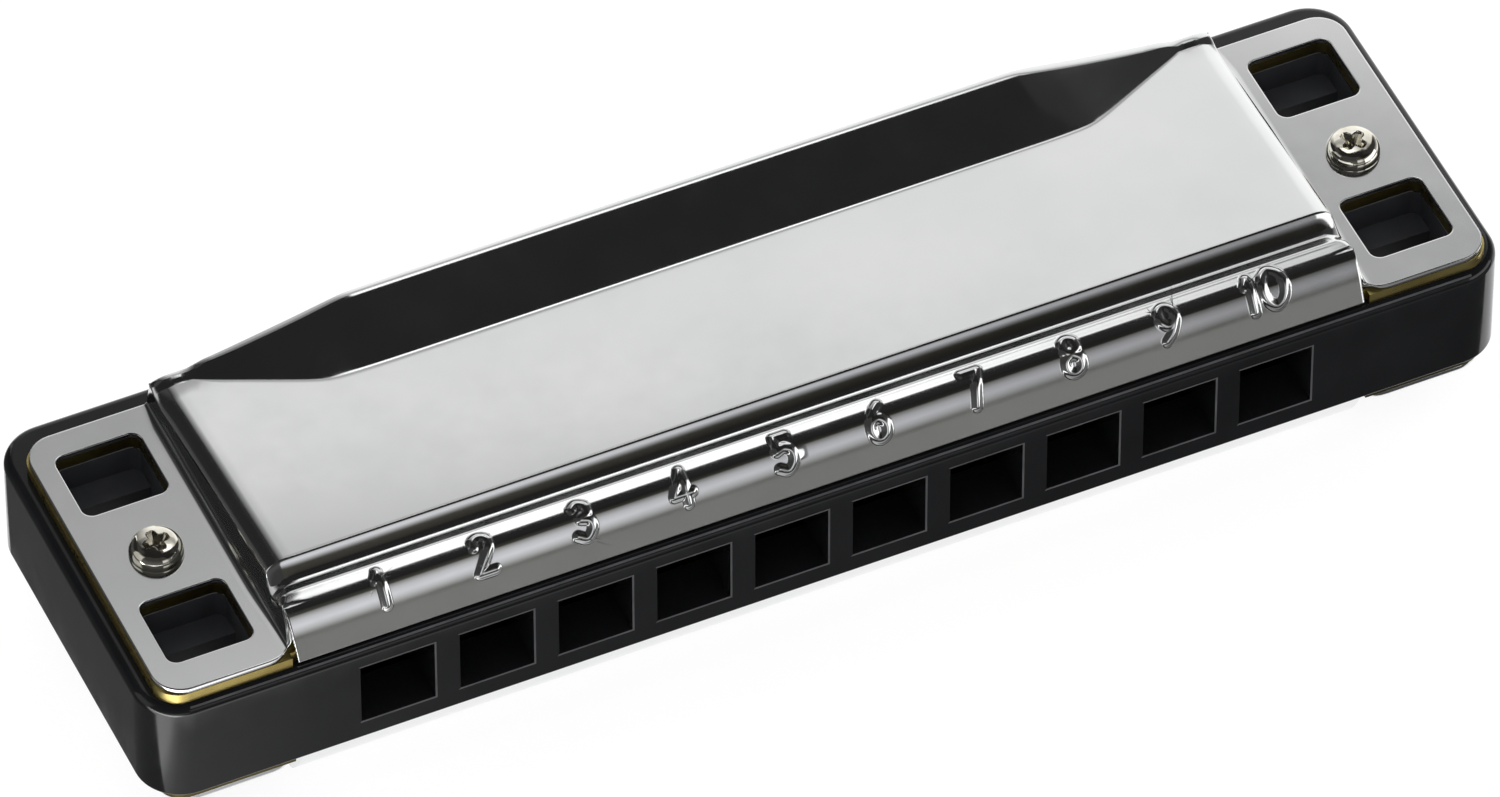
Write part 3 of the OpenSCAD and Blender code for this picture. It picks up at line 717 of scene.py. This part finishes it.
def flange_plate(foot, sign):
    """Points and faces of a flange from the wall's foot line outward; a narrow ring
    along its rim and round its windows and screw hole keeps their edges crisp"""
    rims = []
    for inset in (0, edge_ring):
        radius, rim = flange_corner - inset, []
        for middle, start in ((flange_back - flange_corner, 90), (flange_front + flange_corner, 0)):
            for k in range(11):
                t = math.radians(start - 9 * k)
                rim.append((sign * (flange_end - flange_corner + radius * math.cos(t)),
                            middle + radius * math.sin(t)))
        for reach, back in FLANGE_FRONT[::-1]:
            rim.append((sign * (hood_half + reach * mm), flange_front + back * mm + inset))
        rims.append(rim)
    outline = foot + rims[0]
    inner_rim = [(sign * (hood_half + rim_start), flange_back - edge_ring)] + rims[1]

    holes = [[rounded_plan(window_width / 2 + grow, window_depth / 2 + grow,
                           window_corner + grow, 7, (x, y - comb_front))
              for grow in (0, edge_ring)] for x, y in window_places if x * sign > 0]
    holes.append([[(sign * window_x + (screw_hole + grow) * math.cos(t),
                    screw_y - comb_front + (screw_hole + grow) * math.sin(t))
                   for t in np.linspace(0, 2 * math.pi, 33)[:-1]] for grow in (0, edge_ring)])

    flat, edges = [], []
    for loop in [outline] + [loop for hole in holes for loop in hole]:
        start, count = len(flat), len(loop)
        flat += loop
        edges += [(start + k, start + (k + 1) % count) for k in range(count)]
    start = len(flat)
    flat += inner_rim
    edges += [(k, k + 1) for k in range(start, len(flat) - 1)]
    corners, _, faces, *_ = delaunay_2d_cdt([Vector((x / mm, y / mm)) for x, y in flat],
                                            edges, [], 1, 1e-4)
    kept = []
    for face in faces:
        x, y = (sum(corners[k][axis] for k in face) / len(face) * mm for axis in (0, 1))
        if inside_loop(x, y, outline) and not any(inside_loop(x, y, hole[0]) for hole in holes):
            kept.append(face)
    return [(corner.x * mm, corner.y * mm, foot_level) for corner in corners], kept


def soften(piece, width, angle, clamp=True):
    """A narrow rounded edge wherever two faces meet at more than an angle"""
    step = piece.modifiers.new("edges", "BEVEL")
    step.width, step.segments, step.limit_method = width, 2, "ANGLE"
    step.angle_limit = math.radians(angle)
    step.use_clamp_overlap = clamp


sheet_weld_gap = 0.006 * mm
edge_roll = 0.055 * mm
end_margin = 3.1 * mm
plain_columns, plain_gap = 57, 0.25 * mm
slit_level = 1.9 * mm
wall_slack = 0.02 * mm


def cover_piece(name, numbered, side, face_level):
    """One pressed cover; side is 1 above the comb and -1 below it"""
    step, turn_step = (fine_gap, 0.1) if numbered else (plain_gap, 0.2)
    along, place, height, slope = front_section(step, turn_step)
    inner = hood_half - end_margin
    columns = (numbered_columns(inner) if numbered
               else np.linspace(-inner, inner, plain_columns))
    s, h = hood_rows(columns, place, height)
    middle = np.stack([np.repeat(columns[None], len(s), 0), s, h], 2)
    end = hood_end(inner, along, place, height)
    hood = np.concatenate([end[:, ::-1] * (-1, 1, 1), middle, end], 1)
    if numbered:
        raise_digits(hood, along, np.stack([-np.sin(slope), np.cos(slope)], 1))

    points, faces = [], []

    def add_grid(block, flip=False):
        start, (rows, cols) = len(points), block.shape[:2]
        points.extend(map(tuple, block.reshape(-1, 3)))
        for r in range(rows - 1):
            for c in range(cols - 1):
                a = start + r * cols + c
                quad = (a, a + 1, a + cols + 1, a + cols)
                faces.append(quad[::-1] if flip else quad)

    add_grid(hood)
    apex_row = int(np.argmin(np.abs(along - apex_along)))
    for sign, column in ((-1, 0), (1, -1)):
        grid = end_wall(hood[apex_row:, column], sign)
        add_grid(grid, flip=sign < 0)
        plate_points, plate_faces = flange_plate([(p[0], p[1]) for p in grid[:, -1]], sign)
        start = len(points)
        points.extend(plate_points)
        faces.extend(tuple(start + k for k in face) for face in plate_faces)

    mesh = bpy.data.meshes.new(name)
    mesh.from_pydata([(x, comb_front + s, face_level + side * h) for x, s, h in points], [],
                     [face if side > 0 else face[::-1] for face in faces])
    weld(mesh, sheet_weld_gap, True, outward=False)
    piece = stand(name, mesh)
    thick = piece.modifiers.new("sheet", "SOLIDIFY")
    thick.thickness, thick.offset, thick.use_even_offset = sheet, -1, False
    soften(piece, edge_roll, 80, clamp=False)
    settle(piece)

    # the rounding throws a few points out where the slits close: back onto the wall
    for point in piece.data.vertices:
        level = side * (point.co.z - face_level)
        if level > slit_level:
            limit = wall_at(level) + wall_slack
            point.co.x = max(-limit, min(limit, point.co.x))
    return piece


cover_steel, tree, shader = new_finish("polished_steel", 1.0, 0.14)
follow(tree, shader, "Base Color", noise(tree, 70, 4), [
    (0.3, (0.77, 0.78, 0.78)), (0.7, (0.83, 0.835, 0.83))])
follow(tree, shader, "Roughness", noise(tree, 260, 6, (1, 1, 1), 0.65), [
    (0.35, 0.09), (0.68, 0.135)])
relief(tree, shader, noise(tree, 55, 2), 0.02, 0.08 * mm)
upper_cover = cover_piece("upper_cover_pressing", True, 1, comb_top)
lower_cover = cover_piece("lower_cover_pressing", False, -1, comb_bottom)
for cover, node in ((upper_cover, "upper_cover"), (lower_cover, "lower_cover")):
    coat(cover, cover_steel)
    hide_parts(node)
    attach(cover, "frame")

# ---------- cover screws ----------
# Two pan-head machine screws of nickelled steel pass through both covers and the comb.
# Each head is turned with a rounded side and a crown, and its cross recess is worn.
head_seat = comb_top + foot_level
head_radius = 1.95 * mm
head_height = screw_high.z - head_seat
shank_radius = 1.0 * mm
# side and crown of a head, as shares of its radius and height
PAN_SIDE = [(0.985, 0), (1, 0.05), (1, 0.2), (0.985, 0.36), (0.96, 0.48), (0.925, 0.6),
            (0.88, 0.71), (0.83, 0.8), (0.775, 0.86), (0.71, 0.905), (0.65, 0.93), (0.5, 0.965),
            (0.35, 0.99), (0.2, 1)]
# half length, half width and height past the crown, in mm, down one arm of the recess
RECESS = [(0.5, 0.18, -0.9), (0.9, 0.3, -0.32), (1.02, 0.38, -0.05), (1.2, 0.56, 0.2)]
recess_turn, recess_twist = 20, 12


def turned(name, profile, centre, level, side, steps=72):
    """Lathe-turned piece from (radius, height) points, closed at both ends"""
    rings = [[(centre[0] + r * math.cos(2 * math.pi * k / steps),
               centre[1] + r * math.sin(2 * math.pi * k / steps), level + side * h)
              for k in range(steps)] for r, h in profile]
    return new_piece(name, *loft(rings))


def recess_arm(centre, spin):
    """Cutter for one arm of a cross recess"""
    c, s = math.cos(math.radians(spin)), math.sin(math.radians(spin))
    rings = []
    for half, wide, z in RECESS:
        plan = [(-half, -wide * 0.6), (-half * 0.8, -wide), (half * 0.8, -wide),
                (half, -wide * 0.6), (half, wide * 0.6), (half * 0.8, wide),
                (-half * 0.8, wide), (-half, wide * 0.6)]
        rings.append([(centre[0] + (a * c - b * s) * mm, centre[1] + (a * s + b * c) * mm,
                       head_seat + head_height + z * mm) for a, b in plan])
    return loft(rings)


def join(name, pieces):
    """Several meshes as one object"""
    work = bmesh.new()
    for piece in pieces:
        work.from_mesh(piece.data)
    mesh = bpy.data.meshes.new(name)
    work.to_mesh(mesh)
    work.free()
    for piece in pieces:
        bpy.data.objects.remove(piece)
    return stand(name, mesh)


screw_parts = []
for sign in (-1, 1):
    centre = (sign * window_x, screw_y)
    head = turned("head", [(r * head_radius, h * head_height) for r, h in PAN_SIDE], centre,
                  head_seat, 1)
    spin = recess_turn + recess_twist * sign
    cut_away(head, "recess", [recess_arm(centre, spin)])
    cut_away(head, "recess", [recess_arm(centre, spin + 90)])
    shank = turned("shank", [(shank_radius * 0.001, 0), (shank_radius * 0.8, 0),
                             (shank_radius, shank_radius * 0.2),
                             (shank_radius, head_seat - screw_low.z)], centre, screw_low.z, 1, 40)
    screw_parts += [head, shank]
edge_round = 0.04 * mm
screws = join("through_screws", screw_parts)
soften(screws, edge_round, 40)
sharpen(screws, 50)
coat(screws, nickel)
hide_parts("cover_screws")
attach(screws, "frame")

# ---------- cover nuts ----------
# A round nut of nickelled steel, turned with the same rounded side as the heads, closes
# each screw under the lower flange.
nut_low, nut_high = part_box("cover_nuts")
nut_height = nut_high.z - nut_low.z
nut_bore = 1.05 * mm
nut_parts = []
for sign in (-1, 1):
    profile = [(nut_bore, 0)] + [(r * head_radius, h * nut_height) for r, h in PAN_SIDE[:-1]]
    profile += [(nut_bore, nut_height), (nut_bore, 0)]
    nut_parts.append(turned("nut", profile, (sign * window_x, screw_y), nut_high.z, -1))
nuts = join("screw_nuts", nut_parts)
soften(nuts, edge_round, 50)
sharpen(nuts, 50)
coat(nuts, nickel)
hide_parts("cover_nuts")
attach(nuts, "frame")

# ---------- table and studio ----------
# A plain white table under soft, even light. Curved cards around it, which only show
# in the polish, stand for the bright sweep behind and the darker room in front.
table_half = 3
table = new_piece("table", [(-table_half, -table_half, 0), (table_half, -table_half, 0),
                            (table_half, table_half, 0), (-table_half, table_half, 0)],
                  [(0, 1, 2, 3)])


def bare_finish(name):
    """A material with only its output: the material, its tree and the surface socket"""
    material = bpy.data.materials.new(name)
    material.use_nodes = True
    tree = material.node_tree
    tree.nodes.clear()
    out = tree.nodes.new("ShaderNodeOutputMaterial")
    return material, tree, out.inputs["Surface"]


white_table, tree, surface = bare_finish("white_table")
glow = tree.nodes.new("ShaderNodeEmission")
glow.inputs["Color"].default_value = (0.82, 0.82, 0.82, 1)
matt = tree.nodes.new("ShaderNodeBsdfDiffuse")
matt.inputs["Color"].default_value = (0.26, 0.26, 0.26, 1)
both = tree.nodes.new("ShaderNodeAddShader")
tree.links.new(glow.outputs[0], both.inputs[0])
tree.links.new(matt.outputs[0], both.inputs[1])
tree.links.new(both.outputs[0], surface)
coat(table, white_table)


def studio_card(name, points, faces, **shades):
    """Card that only shows in the polish; shades are lists of (share, shade) by axis,
    multiplied together"""
    card = new_piece(name, points, faces)
    paper, tree, surface = bare_finish(name)
    place = tree.nodes.new("ShaderNodeTexCoord")
    split = tree.nodes.new("ShaderNodeSeparateXYZ")
    tree.links.new(place.outputs["Generated"], split.inputs[0])
    shade = tree.nodes.new("ShaderNodeEmission")
    bands = [ramp(tree, split.outputs[axis], stops) for axis, stops in shades.items()]
    if len(bands) > 1:
        product = tree.nodes.new("ShaderNodeVectorMath")
        product.operation = "MULTIPLY"
        for band, slot in zip(bands, product.inputs):
            tree.links.new(band, slot)
        bands = [product.outputs[0]]
    tree.links.new(bands[0], shade.inputs["Color"])
    tree.links.new(shade.outputs[0], surface)
    coat(card, paper)
    card.visible_camera = card.visible_diffuse = card.visible_shadow = False


def curved_card(name, reach, start, end, tall, stops, sideways=None):
    """Upright card around the piece, between two directions in degrees from the back;
    stops are (elevation in degrees, shade) and sideways is (direction, shade)"""
    turns = np.radians(np.linspace(start, end, max(4, int(abs(end - start) / 6))))
    points = [(reach * math.sin(t), reach * math.cos(t), z) for z in (0, tall) for t in turns]
    n = len(turns)
    shades = [(min(1, max(0, (reach * math.tan(math.radians(a)) + comb_top) / tall)), shade)
              for a, shade in stops]
    more = {}
    if sideways:
        west, east = math.sin(math.radians(start)), math.sin(math.radians(end))
        more["X"] = [((math.sin(math.radians(a)) - west) / (east - west), shade)
                     for a, shade in sideways]
    faces = [(k, k + 1, n + k + 1, n + k) for k in range(n - 1)]
    studio_card(name, points, faces, Z=shades, **more)


def flat_card(name, west, east, y_low, y_high, level, **stops):
    """Level card; stops are (place, shade) along X or Y"""
    points = [(west, y_low, level), (east, y_low, level), (east, y_high, level),
              (west, y_high, level)]
    spans = {"X": (west, east), "Y": (y_low, y_high)}
    shades = {axis: [((place - spans[axis][0]) / (spans[axis][1] - spans[axis][0]), shade)
                     for place, shade in bands] for axis, bands in stops.items()}
    studio_card(name, points, [(0, 1, 2, 3)], **shades)


curved_card("rear_sweep", 0.28, -15, 60, 0.415, [
    (-5, 1.2), (29, 1.05), (36, 0.9), (41.9, 0.86), (43.1, 0.52), (44.4, 0.44), (46.5, 0.42),
    (48, 0.39), (49.6, 0.43), (51.2, 0.58), (53, 0.68), (56, 0.68)], [
    (-15, 0.12), (-2, 0.5), (6, 0.85), (11, 1), (57, 1), (60, 0.3)])
curved_card("right_sweep", 0.28, 60, 115, 0.6, [(-5, 0.5), (8, 0.3), (20, 0.04), (60, 0.03)])
curved_card("right_light", 0.27, 97, 149, 0.11, [(-5, 1.5), (14, 1.5), (18, 0.9)])
curved_card("front_left", 0.58, 183, 262, 1.4, [(-2, 0.14), (6, 0.1), (30, 0.045)])
curved_card("front_low", 0.58, 183, 115, 0.075, [
    (-2, (0.2, 0.2, 0.19)), (3, (0.2, 0.2, 0.19)), (5.5, (0.12, 0.12, 0.11))])
curved_card("front_wall", 0.6, 183, 115, 1.4, [
    (5.5, (0.12, 0.12, 0.11)), (10.5, 0.45), (15, (0.66, 0.66, 0.7)), (24.5, 0.36),
    (31.5, (0.045, 0.043, 0.035)), (66, 0.042)], [
    (183, 1.25), (166, 1.2), (162.5, 0.85), (160, 0.62), (158.5, 0.45), (155, 0.35), (115, 0.35)])
curved_card("left_card", 0.4, 262, 300, 0.5, [(-2, 0.5), (30, 0.6), (45, 0.1)])
curved_card("left_rear", 0.45, 300, 345, 0.9, [
    (-2, 0.07), (8, 0.065), (18, 0.022), (40, 0.02), (48, 0.06), (56, 0.05)])
studio_card("soft_box", [(0.05, 0.108, 0.35), (0.18, 0.137, 0.35), (0.18, 0.192, 0.35),
                         (0.05, 0.216, 0.35)], [(0, 1, 2, 3)], X=[
    (0, 1.45), (0.5, 1.45), (0.62, 1.25), (0.75, 0.95), (1, 0.6)])
flag_front = comb_front - 420 * mm
flag_back = comb_front - 1.5 * mm
flat_card("front_flag", -0.3, 0.3, flag_front, flag_back, 0.05 * mm, X=[
    (-0.3, 13), (-0.0585, 13), (-0.0555, 4.5), (-0.05, 3), (-0.04, 1.9), (-0.025, 0.9),
    (0.03, 0.35), (0.3, 0.2)], Y=[
    (flag_front, 0.2), (comb_front - 190 * mm, 0.2), (comb_front - 130 * mm, 0.03),
    (comb_front - 36 * mm, 0.03), (comb_front - 26 * mm, 0.6), (comb_front - 14 * mm, 0.75),
    (comb_front - 12.4 * mm, 0.7), (comb_front - 11.6 * mm, 0.2), (flag_back, 0.2)])
flat_card("left_flag", -0.5, -comb_half - 1.5 * mm, -0.35, 0.45, 0.03 * mm, X=[
    (-0.5, 0.08), (-0.075, 0.08), (-0.062, 0.13), (-comb_half - 1.5 * mm, 0.13)])
flat_card("ceiling", -2, 2, -2, 2, 1.5, Y=[(-2, 0.018), (2, 0.018)])

world = bpy.data.worlds.new("studio")
bpy.context.scene.world = world
world.use_nodes = True
world.node_tree.nodes["Background"].inputs["Color"].default_value = (1, 1, 1, 1)
world.node_tree.nodes["Background"].inputs["Strength"].default_value = 1.0

# ---------- camera ----------
# A long lens about a metre off, above the mouth side and to the left of the middle,
# with a trace of tilt.
camera_data = bpy.data.cameras.new("camera")
camera_data.lens = 368.5
camera_data.sensor_width = 36
camera_data.sensor_fit = "HORIZONTAL"
camera_data.clip_start, camera_data.clip_end = 0.05, 50
camera = stand("camera", camera_data)
swing, rise, tilt = math.radians(-24.42), math.radians(47.39), math.radians(-0.07)
distance, shift_left, shift_up = 1.0855, 0.00029, 0.00232
aim = Vector((0, 0, 5.99 * mm))
back = Vector((math.sin(swing) * math.cos(rise), -math.cos(swing) * math.cos(rise),
               math.sin(rise)))
right = Vector((math.cos(swing), math.sin(swing), 0))
up = back.cross(right)
place = back * distance - right * shift_left + up * shift_up + aim
turned_right = right * math.cos(tilt) + up * math.sin(tilt)
turned_up = up * math.cos(tilt) - right * math.sin(tilt)
camera.matrix_world = Matrix((
    (turned_right.x, turned_up.x, back.x, place.x),
    (turned_right.y, turned_up.y, back.y, place.y),
    (turned_right.z, turned_up.z, back.z, place.z), (0, 0, 0, 1)))
bpy.context.scene.camera = camera
bpy.context.scene.view_settings.view_transform = "Standard"

bpy.context.view_layer.update()
